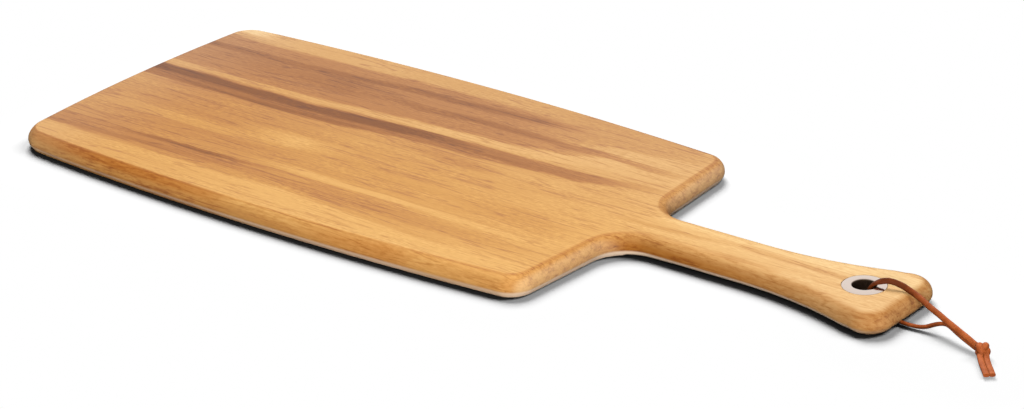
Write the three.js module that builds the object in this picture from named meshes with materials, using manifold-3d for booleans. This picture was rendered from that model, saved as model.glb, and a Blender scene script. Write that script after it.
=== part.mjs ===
// A wooden paddle serving board: one plank with a flared handle, a metal eyelet in the handle and a
// leather thong looped through it. Millimetres, +Z up. The origin lies on the table under the middle of
// the plank, the handle points along +X, and the board lies flat on its underside.
import * as THREE from 'three';
import { mergeVertices } from 'three/addons/utils/BufferGeometryUtils.js';
import Module from 'manifold-3d';

const wasm = await Module();
wasm.setup();

// Plank in plan view
const BODY_LENGTH = 339; // back end to the corner of the shoulder
const BODY_WIDTH = 200; // at the widest place, halfway along the bowed sides
const SIDE_BOW = 7.7; // how far each long side swells out between its corners
const BACK_BOW = 4.5; // how far the back end swells out
const BACK_CORNER_RADIUS = 16;
const SHOULDER_CORNER_RADIUS = 14.2;
const SHOULDER_LEAN = 5.3; // the shoulder runs this far forward from its corner to the neck
const HANDLE_LENGTH = 165; // shoulder corner to handle end
const NECK_WIDTH = 32.5;
const NECK_FILLET_RADIUS = 18.7;
const FLARE_LENGTH = 93; // stretch of the handle that widens towards its end
const FLARE_POWER = 2.15; // 1 would widen along straight lines
const HANDLE_END_WIDTH = 74; // where the flared sides would meet the end if its corners were sharp
const HANDLE_CORNER_RADIUS = 13.2;
const HANDLE_END_BOW = 1.3;

// Plank in section
const BOARD_THICKNESS = 11.5;
const WIDEST_HEIGHT = 4.7; // height at which the rounded edge reaches out furthest
const UNDER_EDGE_IN = 2.2; // the body's flat underside stops this far inside the outline
const HANDLE_UNDER_EDGE_IN = 3.7; // the handle's rolls further under, for the hand
const UNDER_ROLL_LENGTH = 40; // and does so over this length from the neck
const BODY_EDGE_IN = 4.35; // the body's flat top stops this far inside the outline, at a crease
const HANDLE_EDGE_IN = 6.5; // the handle's edge rolls into its flat top over this width, with no crease
const CREASE_EASE = 0.7; // the crease is sanded off over this width to each side
const CREASE_FADE_BEHIND = 105; // the crease starts to fade this far behind the shoulder
const CREASE_FADE_LENGTH = 95; // and turns into the rolled edge over this length

// Eyelet
const EYELET_FROM_END = 26.2; // eyelet axis to handle end
const EYELET_BORE = 12;
const EYELET_WALL = 0.7;
const EYELET_FLANGE_DIAMETER = 22;
const EYELET_FLANGE_THICKNESS = 1.1;
const EYELET_FLANGE_PROUD = 0.5; // how far the flange stands above the wood
const EYELET_FIT = 0.3; // gap between the metal and the wood round it
const EYELET_LACE_CLEARANCE = 0.7; // between the barrel's lower end and the lace that leaves under it

// Thong
const LACE_DIAMETER = 2.6;
const LACE_GAP = 0.3; // between the ends of two stretches that follow each other
const KNOT_GAP = 0.5; // between the reach of the knot and the strands that run into it
const TABLE_GAP = 0.35; // between the lace and the table
const CHANNEL_CLEARANCE = 0.5; // between the lace and the channel cut for it in the underside
const KNOT_TURN_RADIUS = 2.35; // of each turn of lace in the knot, to the middle of the lace
const KNOT_TURN_TILT = 38; // degrees that the outer turns lean
const KNOT_TURN_SPREAD = 1.1; // how far the outer turns lie from the middle of the knot

// The lace in plan view, from the middle of the handle's end
const CHANNEL_START = new THREE.Vector2(-22, -2.4); // where the lower strand reaches its channel
const CHANNEL_EXIT = new THREE.Vector2(1, -7.2); // where it comes out from under the handle
const SWING_AT = new THREE.Vector2(18.5, -4.4); // where the strands cross, and the loop swings
const KNOT_AT = new THREE.Vector2(48.2, -14.6);

const BOARD_LENGTH = BODY_LENGTH + HANDLE_LENGTH;
const BACK_X = -BOARD_LENGTH / 2;
const END_X = BOARD_LENGTH / 2;
const SHOULDER_X = BACK_X + BODY_LENGTH;
const CREASE_FADE_X = SHOULDER_X - CREASE_FADE_BEHIND;
const EYELET_X = END_X - EYELET_FROM_END;
const FLANGE_SEAT_Z = BOARD_THICKNESS + EYELET_FLANGE_PROUD - EYELET_FLANGE_THICKNESS;
const LACE_RADIUS = LACE_DIAMETER / 2;
const LYING_Z = TABLE_GAP + LACE_RADIUS;
const CHANNEL_HEIGHT = LYING_Z + LACE_RADIUS + CHANNEL_CLEARANCE;
const KNOT_REACH = KNOT_TURN_RADIUS + LACE_RADIUS;
const KNOT = new THREE.Vector3(END_X + KNOT_AT.x, KNOT_AT.y, KNOT_REACH + TABLE_GAP);

const CIRCLE_STEPS = 48;
const LACE_SIDES = 8;
const LACE_STEP = 5.5; // length of one straight step along a strand
const CUT_MARGIN = 1; // how far a cutting body runs past the face that it opens

// Finishes
function finish(color, roughness, metalness) {
  return new THREE.MeshStandardMaterial({ color, roughness, metalness });
}
const wood = finish(0xdca265, 0.5, 0);
const metal = finish(0xd8d4d0, 0.3, 1);
const leather = finish(0xa8562f, 0.7, 0);

// A closed mesh as a solid that can be joined and cut
function solid(geometry) {
  const bare = geometry.clone();
  bare.deleteAttribute('normal');
  bare.deleteAttribute('uv');
  const merged = mergeVertices(bare, 1e-4);
  const vertProperties = new Float32Array(merged.attributes.position.array);
  const triVerts = new Uint32Array(merged.index.array);
  return new wasm.Manifold(new wasm.Mesh({ numProp: 3, vertProperties, triVerts }));
}

// A solid back as a geometry
function geometryOf(body) {
  const mesh = body.getMesh();
  const geometry = new THREE.BufferGeometry();
  geometry.setAttribute('position', new THREE.BufferAttribute(new Float32Array(mesh.vertProperties), 3));
  geometry.setIndex(new THREE.BufferAttribute(new Uint32Array(mesh.triVerts), 1));
  geometry.computeVertexNormals();
  return geometry;
}

// Arc that rounds the corner between an incoming and an outgoing direction
function roundedCorner(corner, into, out, radius, steps) {
  const a = into.clone().normalize();
  const b = out.clone().normalize();
  const turn = Math.acos(a.dot(b));
  const side = Math.sign(a.cross(b));
  const start = corner.clone().addScaledVector(a, -radius * Math.tan(turn / 2));
  const centre = start.clone().add(new THREE.Vector2(-a.y, a.x).multiplyScalar(side * radius));
  const first = start.clone().sub(centre).angle();
  const points = [];
  for (let i = 0; i <= steps; i += 1) {
    const angle = first + (side * turn * i) / steps;
    points.push(new THREE.Vector2(Math.cos(angle), Math.sin(angle)).multiplyScalar(radius).add(centre));
  }
  return points;
}

// Evenly spaced places strictly between two values
function between(from, to, steps, place) {
  return Array.from({ length: steps - 1 }, (_, i) => place(from + ((to - from) * (i + 1)) / steps));
}

// Half of the plank's outline, on the +Y side, from the middle of the back end to that of the handle end
function halfOutline() {
  const middleX = BACK_X + BODY_LENGTH / 2;
  const sideY = (x) => BODY_WIDTH / 2 - SIDE_BOW * ((x - middleX) / (BODY_LENGTH / 2)) ** 2;
  const cornerY = sideY(BACK_X);
  const sideSlope = (4 * SIDE_BOW) / BODY_LENGTH;
  const backPlace = (y) => new THREE.Vector2(BACK_X + BACK_BOW * (y / cornerY) ** 2, y);
  const backCorner = roundedCorner(
    backPlace(cornerY),
    new THREE.Vector2((2 * BACK_BOW) / cornerY, 1),
    new THREE.Vector2(1, sideSlope),
    BACK_CORNER_RADIUS,
    10,
  );

  const shoulder = new THREE.Vector2(SHOULDER_X, cornerY);
  const neck = new THREE.Vector2(SHOULDER_X + SHOULDER_LEAN, NECK_WIDTH / 2);
  const alongShoulder = neck.clone().sub(shoulder);
  const alongHandle = new THREE.Vector2(1, 0);
  const shoulderCorner = roundedCorner(
    shoulder,
    new THREE.Vector2(1, -sideSlope),
    alongShoulder,
    SHOULDER_CORNER_RADIUS,
    9,
  );
  const neckFillet = roundedCorner(neck, alongShoulder, alongHandle, NECK_FILLET_RADIUS, 10);

  const flareX = END_X - FLARE_LENGTH;
  const flareGain = (HANDLE_END_WIDTH - NECK_WIDTH) / 2;
  const handlePlace = (x) => {
    const share = Math.max(0, (x - flareX) / FLARE_LENGTH);
    return new THREE.Vector2(x, NECK_WIDTH / 2 + flareGain * share ** FLARE_POWER);
  };
  const sharpEnd = handlePlace(END_X - HANDLE_END_BOW);
  const endPlace = (y) => new THREE.Vector2(END_X - HANDLE_END_BOW * (y / sharpEnd.y) ** 2, y);
  const handleCorner = roundedCorner(
    sharpEnd,
    new THREE.Vector2(1, (FLARE_POWER * flareGain) / FLARE_LENGTH),
    new THREE.Vector2((2 * HANDLE_END_BOW) / sharpEnd.y, -1),
    HANDLE_CORNER_RADIUS,
    11,
  );

  return [
    backPlace(0),
    ...between(0, backCorner[0].y, 6, backPlace),
    ...backCorner,
    ...between(backCorner.at(-1).x, shoulderCorner[0].x, 24, (x) => new THREE.Vector2(x, sideY(x))),
    ...shoulderCorner,
    ...neckFillet,
    ...between(neckFillet.at(-1).x, handleCorner[0].x, 22, handlePlace),
    ...handleCorner,
    ...between(handleCorner.at(-1).y, 0, 4, endPlace),
    endPlace(0),
  ];
}

// The whole outline, anticlockwise from above: each place, its inward direction and its shares of handle edge
// above and below
function boardOutline() {
  const half = halfOutline();
  const mirrored = half.slice(1, -1).map((p) => new THREE.Vector2(p.x, -p.y));
  const places = [...half.reverse(), ...mirrored];
  const count = places.length;
  return places.map((place, i) => {
    const along = places[(i + 1) % count].clone().sub(places[(i + count - 1) % count]);
    const inward = new THREE.Vector2(-along.y, along.x).normalize();
    const fadeEnd = CREASE_FADE_X + CREASE_FADE_LENGTH;
    const neckX = SHOULDER_X + SHOULDER_LEAN;
    return {
      place,
      inward,
      topShare: THREE.MathUtils.smoothstep(place.x, CREASE_FADE_X, fadeEnd),
      underShare: THREE.MathUtils.smoothstep(place.x, neckX, neckX + UNDER_ROLL_LENGTH),
    };
  });
}

// Heights of the edge's section, with how far the body's and the handle's edge lie inside the outline there
function edgeSection() {
  const under = [1, 0.7, 0.4, 0.2].map((down) => {
    const z = WIDEST_HEIGHT * (1 - down);
    return { z, body: UNDER_EDGE_IN * down ** 2, handle: HANDLE_UNDER_EDGE_IN * down ** 2 };
  });
  const sideSteps = 6;
  const easeSteps = 3;
  const easeStart = Math.sqrt(1 - CREASE_EASE / BODY_EDGE_IN);
  const side = Array.from({ length: sideSteps + 1 }, (_, i) => {
    const up = Math.sin((i / sideSteps) * Math.asin(easeStart));
    return { up, body: BODY_EDGE_IN * up ** 2 };
  });
  const ease = Array.from({ length: easeSteps }, (_, i) => {
    const share = (i + 1) / easeSteps;
    const up = 1 - (1 - easeStart) * (1 - share) ** 2;
    return { up, body: BODY_EDGE_IN + CREASE_EASE * (2 * share - 1) };
  });
  const top = [...side, ...ease].map(({ up, body }) => ({
    z: WIDEST_HEIGHT + (BOARD_THICKNESS - WIDEST_HEIGHT) * up,
    body,
    handle: HANDLE_EDGE_IN * (1 - Math.sqrt(1 - up ** 2)),
  }));
  return [...under, ...top];
}

// The plank: its outline lofted through the heights of the edge, closed by the flat underside and top
function plankGeometry() {
  const outline = boardOutline();
  const count = outline.length;
  const rings = edgeSection().map(({ z, body, handle }) => outline.map((at) => {
    const share = z < WIDEST_HEIGHT ? at.underShare : at.topShare;
    const inset = THREE.MathUtils.lerp(body, handle, share);
    const p = at.place.clone().addScaledVector(at.inward, inset);
    return new THREE.Vector3(p.x, p.y, z);
  }));
  const index = [];
  for (let r = 0; r + 1 < rings.length; r += 1) {
    for (let i = 0; i < count; i += 1) {
      const a = r * count + i;
      const b = r * count + ((i + 1) % count);
      index.push(a, b, b + count, a, b + count, a + count);
    }
  }
  const flat = (ring) => ring.map((p) => new THREE.Vector2(p.x, p.y));
  const topBase = (rings.length - 1) * count;
  for (const [a, b, c] of THREE.ShapeUtils.triangulateShape(flat(rings[0]), [])) index.push(a, c, b);
  for (const [a, b, c] of THREE.ShapeUtils.triangulateShape(flat(rings.at(-1)), [])) {
    index.push(topBase + a, topBase + b, topBase + c);
  }
  const geometry = new THREE.BufferGeometry().setFromPoints(rings.flat());
  geometry.setIndex(index);
  return geometry;
}

// Upright round cut at the eyelet, between two heights
function eyeletCut(radius, low, high) {
  const geometry = new THREE.CylinderGeometry(radius, radius, high - low, CIRCLE_STEPS);
  geometry.rotateX(Math.PI / 2);
  geometry.translate(EYELET_X, 0, (low + high) / 2);
  return solid(geometry);
}

// Round-topped channel in the underside, in which the lower strand runs from the eyelet to the handle's end
function laceChannel() {
  const along = CHANNEL_EXIT.clone().sub(CHANNEL_START);
  const halfWidth = LACE_RADIUS + CHANNEL_CLEARANCE;
  const section = new THREE.Shape();
  section.moveTo(-halfWidth, -CUT_MARGIN);
  section.lineTo(halfWidth, -CUT_MARGIN);
  section.lineTo(halfWidth, CHANNEL_HEIGHT - halfWidth);
  section.absarc(0, CHANNEL_HEIGHT - halfWidth, halfWidth, 0, Math.PI, false);
  section.closePath();
  const length = along.length() + halfWidth + CUT_MARGIN;
  const geometry = new THREE.ExtrudeGeometry(section, {
    depth: length,
    bevelEnabled: false,
    curveSegments: 6,
  });
  geometry.translate(0, 0, -halfWidth);
  geometry.rotateX(Math.PI / 2);
  geometry.rotateZ(along.angle() + Math.PI / 2);
  geometry.translate(END_X + CHANNEL_START.x, CHANNEL_START.y, 0);
  return solid(geometry);
}

function board() {
  const barrelRadius = EYELET_BORE / 2 + EYELET_WALL;
  const above = BOARD_THICKNESS + CUT_MARGIN;
  const cut = solid(plankGeometry())
    .subtract(eyeletCut(barrelRadius + EYELET_FIT, -CUT_MARGIN, above))
    .subtract(eyeletCut(EYELET_FLANGE_DIAMETER / 2 + EYELET_FIT, FLANGE_SEAT_Z, above))
    .subtract(laceChannel());
  return geometryOf(cut);
}

// The eyelet: a turned sleeve with a crowned flange that rolls into its bore
function eyelet() {
  const bore = EYELET_BORE / 2;
  const rim = EYELET_FLANGE_DIAMETER / 2;
  const top = FLANGE_SEAT_Z + EYELET_FLANGE_THICKNESS;
  const barrelEnd = CHANNEL_HEIGHT + EYELET_LACE_CLEARANCE;
  const roll = EYELET_FLANGE_THICKNESS;
  const edge = EYELET_FLANGE_THICKNESS / 2;
  const profile = new THREE.Path();
  profile.moveTo(bore, barrelEnd);
  profile.lineTo(bore + EYELET_WALL, barrelEnd);
  profile.lineTo(bore + EYELET_WALL, FLANGE_SEAT_Z);
  profile.lineTo(rim - edge, FLANGE_SEAT_Z);
  profile.quadraticCurveTo(rim, FLANGE_SEAT_Z, rim, FLANGE_SEAT_Z + edge);
  profile.quadraticCurveTo(rim - edge, top, (bore + rim) / 2, top);
  profile.lineTo(bore + roll, top);
  profile.quadraticCurveTo(bore, top, bore, top - roll);
  profile.lineTo(bore, barrelEnd);
  const geometry = new THREE.LatheGeometry(profile.getPoints(5), CIRCLE_STEPS);
  geometry.rotateX(Math.PI / 2);
  geometry.translate(EYELET_X, 0, 0);
  return geometryOf(solid(geometry));
}

// Places along the lace: in the eyelet, above the handle's top face, and lying on or rising from the table
const inEyelet = (dx, y, z) => new THREE.Vector3(EYELET_X + dx, y, z);
const overHandle = (dx, y, dz) => new THREE.Vector3(END_X + dx, y, BOARD_THICKNESS + dz);
const onTable = (dx, y, dz) => new THREE.Vector3(END_X + dx, y, LYING_Z + dz);
const SPLIT = inEyelet(2.2, 1.2, (LYING_Z + BOARD_THICKNESS) / 2 + 0.7); // where the strands part

// The upper strand: up out of the eyelet, over the handle's end and down to the knot
const UPPER_ROUTE = [
  SPLIT,
  inEyelet(2.5, 1.2, BOARD_THICKNESS - 1.6),
  inEyelet(4.2, 1.6, BOARD_THICKNESS + 1),
  overHandle(-18.5, 2.8, 2.9),
  overHandle(-14.8, 4.1, 3.6),
  overHandle(-9.3, 5.2, 2.7),
  overHandle(-2.8, 4.9, 0.9),
  overHandle(4.3, 2.4, -0.2),
  overHandle(10.4, -0.7, -1),
  overHandle(14.6, -2.7, -1.4),
  overHandle(SWING_AT.x, SWING_AT.y, -1.8),
  onTable(23, -6.1, 7.1),
  onTable(27.5, -7.7, 6.3),
  onTable(33, -9.7, 5.3),
  onTable(38.6, -11.6, 4.2),
  onTable(43.6, -13.3, 3.1),
  onTable(48.2, -14.4, 2.7),
];
const UPPER_SWING = 10; // index of the place where the strands cross

// The lower strand: down out of the eyelet, along its channel, over the table and up under the other one
const channelPlace = (share) => {
  const p = CHANNEL_START.clone().lerp(CHANNEL_EXIT, share);
  return onTable(p.x, p.y, 0);
};
const LOWER_ROUTE = [
  SPLIT,
  inEyelet(2.4, 0.5, LYING_Z + 3.2),
  inEyelet(3.8, -1, LYING_Z + 1.2),
  channelPlace(0.12),
  channelPlace(0.4),
  channelPlace(0.7),
  channelPlace(1),
  onTable(4.6, -7.3, 0),
  onTable(8.5, -6.9, 0.1),
  onTable(12.2, -6.2, 0.8),
  onTable(15.4, -5.2, 2.2),
  onTable(SWING_AT.x, SWING_AT.y, 3.4),
  onTable(22, -4.5, 4.1),
  onTable(25.8, -5.8, 3.8),
  onTable(30, -7.6, 3),
  onTable(35.2, -9.6, 1.95),
  onTable(39.6, -11.1, 1.15),
  onTable(43.6, -12.4, 0.45),
  onTable(47.8, -13.9, 0.8),
];
const LOWER_SWING = 11;

// The tails: from the knot down to the table, side by side
const TAIL_ROUTE = [
  onTable(48.6, -15.4, 2.2),
  onTable(50.2, -17.6, 1.6),
  onTable(51.9, -19.8, 0.7),
  onTable(53.8, -22, 0.1),
  onTable(56, -24.6, 0),
  onTable(58.4, -27.3, 0),
  onTable(60.2, -29.4, 0),
  onTable(62, -31.5, 0),
];
const TAIL_ASIDE = new THREE.Vector3(0.74, 0.67, 0);

// Part of a curve, as a curve of its own
class Stretch extends THREE.Curve {
  constructor(whole, from, to) {
    super();
    this.whole = whole;
    this.from = from;
    this.to = to;
  }

  getPoint(t, target = new THREE.Vector3()) {
    return this.whole.getPoint(THREE.MathUtils.lerp(this.from, this.to, t), target);
  }
}

// The place along a curve, between two others, at a distance from a point that grows towards far
function placeAtDistance(curve, near, far, point, distance) {
  let low = near;
  let high = far;
  for (let i = 0; i < 40; i += 1) {
    const middle = (low + high) / 2;
    if (curve.getPoint(middle).distanceTo(point) < distance) low = middle;
    else high = middle;
  }
  return (low + high) / 2;
}

// A tube of lace along a stretch
function laceTube(stretch) {
  const section = new THREE.Shape();
  for (let i = 0; i < LACE_SIDES; i += 1) {
    const angle = (2 * Math.PI * (i + 0.5)) / LACE_SIDES;
    const x = LACE_RADIUS * Math.cos(angle);
    const y = LACE_RADIUS * Math.sin(angle);
    if (i === 0) section.moveTo(x, y);
    else section.lineTo(x, y);
  }
  section.closePath();
  const steps = Math.ceil(stretch.getLength() / LACE_STEP);
  return solid(new THREE.ExtrudeGeometry(section, { steps, extrudePath: stretch, curveSegments: 1 }));
}

// A strand in two stretches: the one held at the handle ends just short of the swing axis, and the one
// that swings starts there with a round end, so that it turns without touching the other
function strand(route, swing) {
  const curve = new THREE.CatmullRomCurve3(route, false, 'centripetal');
  const at = swing / (route.length - 1);
  const axisPlace = route[swing];
  const heldStart = placeAtDistance(curve, 0, at, route[0], LACE_GAP / 2);
  const heldEnd = placeAtDistance(curve, at, at / 2, axisPlace, LACE_RADIUS + LACE_GAP);
  const knotEnd = placeAtDistance(curve, 1, at, KNOT, KNOT_REACH + KNOT_GAP);
  const pivot = new THREE.SphereGeometry(LACE_RADIUS, LACE_SIDES, LACE_SIDES / 2);
  pivot.rotateX(Math.PI / 2);
  pivot.translate(axisPlace.x, axisPlace.y, axisPlace.z);
  return {
    held: geometryOf(laceTube(new Stretch(curve, heldStart, heldEnd))),
    loop: geometryOf(laceTube(new Stretch(curve, at, knotEnd)).add(solid(pivot))),
  };
}

// One tail, to one side of their common route
function tail(side) {
  const aside = TAIL_ASIDE.clone().normalize().multiplyScalar(side * (LACE_RADIUS + LACE_GAP / 2));
  const route = TAIL_ROUTE.map((p) => p.clone().add(aside));
  const curve = new THREE.CatmullRomCurve3(route, false, 'centripetal');
  const start = placeAtDistance(curve, 0, 1, KNOT, KNOT_REACH + LACE_GAP);
  return geometryOf(laceTube(new Stretch(curve, start, 1)));
}

// The overhand knot, drawn tight: turns of lace that lean across each other round a full middle
function knot() {
  const along = KNOT_AT.clone().sub(SWING_AT).normalize();
  const turn = (lean, spread) => {
    const ring = new THREE.TorusGeometry(KNOT_TURN_RADIUS, LACE_RADIUS, LACE_SIDES, 20);
    ring.rotateY(Math.PI / 2);
    ring.rotateZ(THREE.MathUtils.degToRad(lean));
    ring.translate(spread, 0, 0);
    ring.rotateZ(along.angle());
    ring.translate(KNOT.x, KNOT.y, KNOT.z);
    return solid(ring);
  };
  const middle = new THREE.SphereGeometry(KNOT_TURN_RADIUS, 16, 8);
  middle.translate(KNOT.x, KNOT.y, KNOT.z);
  return geometryOf(solid(middle)
    .add(turn(KNOT_TURN_TILT, -KNOT_TURN_SPREAD))
    .add(turn(-KNOT_TURN_TILT, KNOT_TURN_SPREAD)));
}

const upper = strand(UPPER_ROUTE, UPPER_SWING);
const lower = strand(LOWER_ROUTE, LOWER_SWING);

const servingBoard = new THREE.Group();
function addPiece(name, geometry, material) {
  const mesh = new THREE.Mesh(geometry, material.clone());
  mesh.name = name;
  servingBoard.add(mesh);
}
addPiece('board', board(), wood);
addPiece('eyelet', eyelet(), metal);
addPiece('thong_over_handle', upper.held, leather);
addPiece('thong_under_handle', lower.held, leather);
addPiece('thong_loop_upper', upper.loop, leather);
addPiece('thong_loop_lower', lower.loop, leather);
addPiece('thong_knot', knot(), leather);
addPiece('thong_tail_near', tail(-1), leather);
addPiece('thong_tail_far', tail(1), leather);

export default servingBoard;
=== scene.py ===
# %% [markdown]
# # A wooden serving board
# The board is one plank of warm, streaky hardwood with a flared handle, a pale metal eyelet near the
# handle's end, and a leather lace that is looped through the eyelet and knotted. Its solids could be drawn
# again here, but then the picture and the model that moves would drift apart. So they come from the packed
# model at their real size, in metres, with the handle along +X, and Blender adds what they don't have: the
# wood's figure, the metal, a flat lace with a real knot, and the light of a white studio.

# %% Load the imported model
import math
from collections import namedtuple

import bmesh
import bpy
from mathutils import Matrix, Vector


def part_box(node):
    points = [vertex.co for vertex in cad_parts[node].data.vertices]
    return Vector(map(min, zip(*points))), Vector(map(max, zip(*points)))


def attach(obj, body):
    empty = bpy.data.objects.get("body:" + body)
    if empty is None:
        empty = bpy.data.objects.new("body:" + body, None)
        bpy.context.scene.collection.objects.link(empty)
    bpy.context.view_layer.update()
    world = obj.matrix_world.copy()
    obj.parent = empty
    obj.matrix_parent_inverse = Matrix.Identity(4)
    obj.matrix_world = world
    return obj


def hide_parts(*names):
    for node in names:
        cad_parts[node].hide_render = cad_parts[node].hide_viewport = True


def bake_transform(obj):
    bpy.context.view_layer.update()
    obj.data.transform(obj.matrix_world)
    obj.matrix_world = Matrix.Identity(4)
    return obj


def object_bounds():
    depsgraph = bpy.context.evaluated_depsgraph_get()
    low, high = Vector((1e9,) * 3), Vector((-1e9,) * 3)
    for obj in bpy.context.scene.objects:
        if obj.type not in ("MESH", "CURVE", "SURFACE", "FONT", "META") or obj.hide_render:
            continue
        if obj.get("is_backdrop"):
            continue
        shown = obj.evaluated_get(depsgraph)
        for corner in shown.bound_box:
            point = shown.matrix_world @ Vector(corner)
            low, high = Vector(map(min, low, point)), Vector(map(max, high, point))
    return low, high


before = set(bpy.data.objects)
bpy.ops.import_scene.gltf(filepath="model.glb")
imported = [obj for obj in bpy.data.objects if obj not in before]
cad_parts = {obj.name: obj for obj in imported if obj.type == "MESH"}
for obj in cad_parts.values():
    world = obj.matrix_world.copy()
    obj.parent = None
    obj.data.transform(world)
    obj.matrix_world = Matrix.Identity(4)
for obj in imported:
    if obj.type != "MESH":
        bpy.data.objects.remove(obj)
cad_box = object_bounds()
MM = 0.001
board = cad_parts["board"]
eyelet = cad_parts["eyelet"]
board_low, board_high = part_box("board")
eyelet_low, eyelet_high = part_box("eyelet")
print("board", [round(side / MM, 1) for side in board_high - board_low], "mm")

# %% [markdown]
# ## The camera
# The photograph was taken with a long lens, from the front right and a little above. An Euler rotation
# could turn the camera, but its three angles say little to a reader. Here the camera circles a place near
# the middle of the board: an azimuth, an elevation and a distance put it on a sphere, and a slight roll
# levels the picture as the photographer held it. Its axes are built by hand from those four numbers.

# %% Camera
PICTURE_WIDTH_PX = 1024
FOCAL_LENGTH_PX = 3676.8
SENSOR_WIDTH_MM = 36.0
CAMERA_AIM = Vector((13.9, -1.1, 0.0)) * MM
CAMERA_DISTANCE = 1883.5 * MM
CAMERA_AZIMUTH = math.radians(37.93)
CAMERA_ELEVATION = math.radians(24.07)
CAMERA_ROLL = math.radians(-1.27)
FARTHEST_SEEN = 20.0

level = math.cos(CAMERA_ELEVATION)
back = Vector((
    math.sin(CAMERA_AZIMUTH) * level,
    -math.cos(CAMERA_AZIMUTH) * level,
    math.sin(CAMERA_ELEVATION),
))
right = Vector((math.cos(CAMERA_AZIMUTH), math.sin(CAMERA_AZIMUTH), 0.0))
axes = Matrix((right, back.cross(right), back)).transposed()
turned = axes @ Matrix.Rotation(CAMERA_ROLL, 3, "Z")
camera = bpy.data.objects.new("camera", bpy.data.cameras.new("camera"))
camera.data.sensor_width = SENSOR_WIDTH_MM
camera.data.lens = FOCAL_LENGTH_PX * SENSOR_WIDTH_MM / PICTURE_WIDTH_PX
camera.data.clip_end = FARTHEST_SEEN
camera.matrix_world = Matrix.Translation(CAMERA_AIM + back * CAMERA_DISTANCE) @ turned.to_4x4()
bpy.context.scene.collection.objects.link(camera)
bpy.context.scene.camera = camera
print("camera", [round(c, 4) for c in camera.location], "lens", round(camera.data.lens, 2), "mm")

# %% [markdown]
# ## Node arithmetic
# A finish is a graph of nodes. It could be drawn by hand in the editor, but a long chain of Math nodes is
# hard to read and to change. The class below wraps one output socket, so that `1 - mask * 0.5` adds the
# Math nodes for it. Its method `node` adds any other node: first the node's own settings, then the values
# or links of its sockets.

# %% A socket with arithmetic


def fill_ramp(ramp, stops):
    """Sets a colour ramp's stops, given as (position, colour) pairs in order."""
    while len(ramp.elements) < len(stops):
        ramp.elements.new(1.0)
    for element, (position, shade) in zip(ramp.elements, stops):
        element.position = position
        element.color = shade


class Flow:
    """An output socket of a node; arithmetic on it adds Math nodes to its tree."""

    def __init__(self, tree, socket=None):
        self.tree = tree
        self.socket = socket

    def node(self, kind, settings=None, sockets=None, output=0):
        """A new node of a kind: its settings first, then its sockets' values or links."""
        made = self.tree.nodes.new(kind)
        for name, setting in (settings or {}).items():
            if name == "stops":
                fill_ramp(made.color_ramp, setting)
            else:
                setattr(made, name, setting)
        for name, value in (sockets or {}).items():
            if isinstance(value, Flow):
                self.tree.links.new(value.socket, made.inputs[name])
            else:
                made.inputs[name].default_value = value
        return Flow(self.tree, made.outputs[output] if made.outputs else None)

    def output(self, name):
        """Another output of the same node."""
        return Flow(self.tree, self.socket.node.outputs[name])

    def math(self, operation, *values):
        return self.node("ShaderNodeMath", {"operation": operation}, dict(enumerate(values)))

    def __add__(self, other):
        return self.math("ADD", self, other)

    def __radd__(self, other):
        return self.math("ADD", other, self)

    def __sub__(self, other):
        return self.math("SUBTRACT", self, other)

    def __rsub__(self, other):
        return self.math("SUBTRACT", other, self)

    def __mul__(self, other):
        return self.math("MULTIPLY", self, other)

    def __rmul__(self, other):
        return self.math("MULTIPLY", other, self)

    def __truediv__(self, other):
        return self.math("DIVIDE", self, other)

    def __rtruediv__(self, other):
        return self.math("DIVIDE", other, self)


print("sums, differences, products and quotients of sockets are ready")

# %% [markdown]
# ## Colours, masks and noise
# Every finish of this board is mixed from the same few things: a colour as the eye sees it, a mask that
# rises or fades smoothly between two places, and cloudy noise of a size in millimetres. Each could be a row
# of nodes in every material. As small functions, they read like a maker's notes.

# %% Colours and masks
SRGB_TOE, SRGB_TOE_SLOPE = 0.04045, 12.92
SRGB_OFFSET, SRGB_POWER = 0.055, 2.4


def linear(share):
    """One channel of a colour as the eye sees it, from 0 to 1, as the linear value that a shader takes."""
    if share <= SRGB_TOE:
        return share / SRGB_TOE_SLOPE
    return ((share + SRGB_OFFSET) / (1 + SRGB_OFFSET)) ** SRGB_POWER


def colour(code):
    """A colour written as the eye sees it, such as b48054."""
    return (*[linear(int(code[i:i + 2], 16) / 255) for i in (0, 2, 4)], 1.0)


def rise(value, low, high):
    """0 below low, 1 above high, with a smooth step between."""
    sockets = {"Value": value, "From Min": low, "From Max": high}
    return value.node("ShaderNodeMapRange", {"interpolation_type": "SMOOTHSTEP"}, sockets)


def fade(value, low, high):
    """1 below low, 0 above high, with a smooth step between."""
    sockets = {"Value": value, "From Min": low, "From Max": high, "To Min": 1.0, "To Max": 0.0}
    return value.node("ShaderNodeMapRange", {"interpolation_type": "SMOOTHSTEP"}, sockets)


def toward(value, target, mask):
    """The value moved to a target where the mask is 1."""
    return value + (target - value) * mask


WHITE = colour("ffffff")
print("golden brown is", [round(c, 3) for c in colour("b48054")[:3]])

# %% Places, noise and mixed colours


def parts_of(vector):
    """The three numbers of a vector."""
    first = vector.node("ShaderNodeSeparateXYZ", sockets={"Vector": vector})
    return first, first.output("Y"), first.output("Z")


def noise(x, y, z, size, detail=2.0, roughness=0.5):
    """Cloudy noise from about -0.5 to 0.5, with features of about the given sizes along x, y and z."""
    sockets = {"X": x / size[0], "Y": y / size[1], "Z": z / size[2]}
    place = x.node("ShaderNodeCombineXYZ", sockets=sockets)
    sockets = {"Vector": place, "Scale": 1.0, "Detail": detail, "Roughness": roughness}
    return x.node("ShaderNodeTexNoise", sockets=sockets) - 0.5


def blend_colours(paint, mode, share, first, second):
    """Two colours blended in a Mix node's mode; a Math node would turn them grey."""
    settings = {"data_type": "RGBA", "blend_type": mode}
    return paint.node("ShaderNodeMix", settings, {"Factor": share, 6: first, 7: second}, output=2)


print("noise and colour mixing are ready")

# %% Materials


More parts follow.
